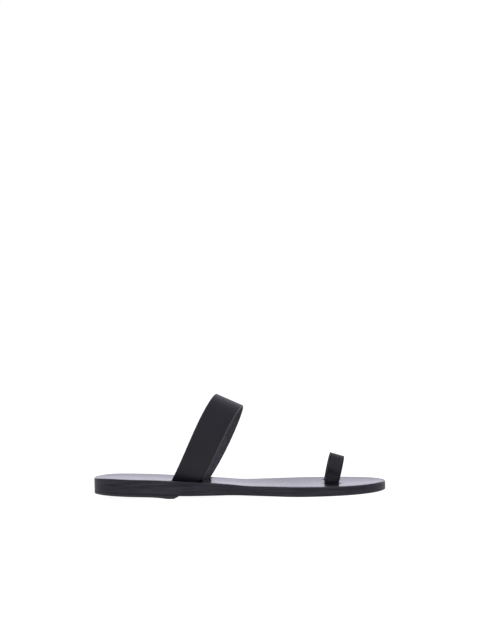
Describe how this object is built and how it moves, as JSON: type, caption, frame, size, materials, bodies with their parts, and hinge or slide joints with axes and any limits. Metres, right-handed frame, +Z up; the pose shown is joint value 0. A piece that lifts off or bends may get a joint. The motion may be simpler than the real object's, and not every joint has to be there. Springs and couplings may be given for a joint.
{
  "type": "flat sandal",
  "caption": "Flat leather slide sandal for the right foot: wide strap over the instep, narrow ring for the big toe, layered leather sole with a low heel lift.",
  "frame": {"origin": "on the floor, under the middle of the sandal's box", "axes": "+X from the heel to the toe, +Y to the inner side of the foot, +Z up"},
  "size_m": [0.2554, 0.087, 0.0885],
  "materials": {
    "outsole": "black leather with a burnished edge",
    "insole": "smooth black leather, satin",
    "heel_lift": "black rubber, matte",
    "instep_strap": "smooth black leather, satin",
    "toe_ring": "smooth black leather, satin"
  },
  "bodies": {
    "root": {"outsole": "outsole", "insole": "insole", "heel_lift": "heel_lift", "instep_strap": "instep_strap", "toe_ring": "toe_ring"}
  },
  "joints": []
}
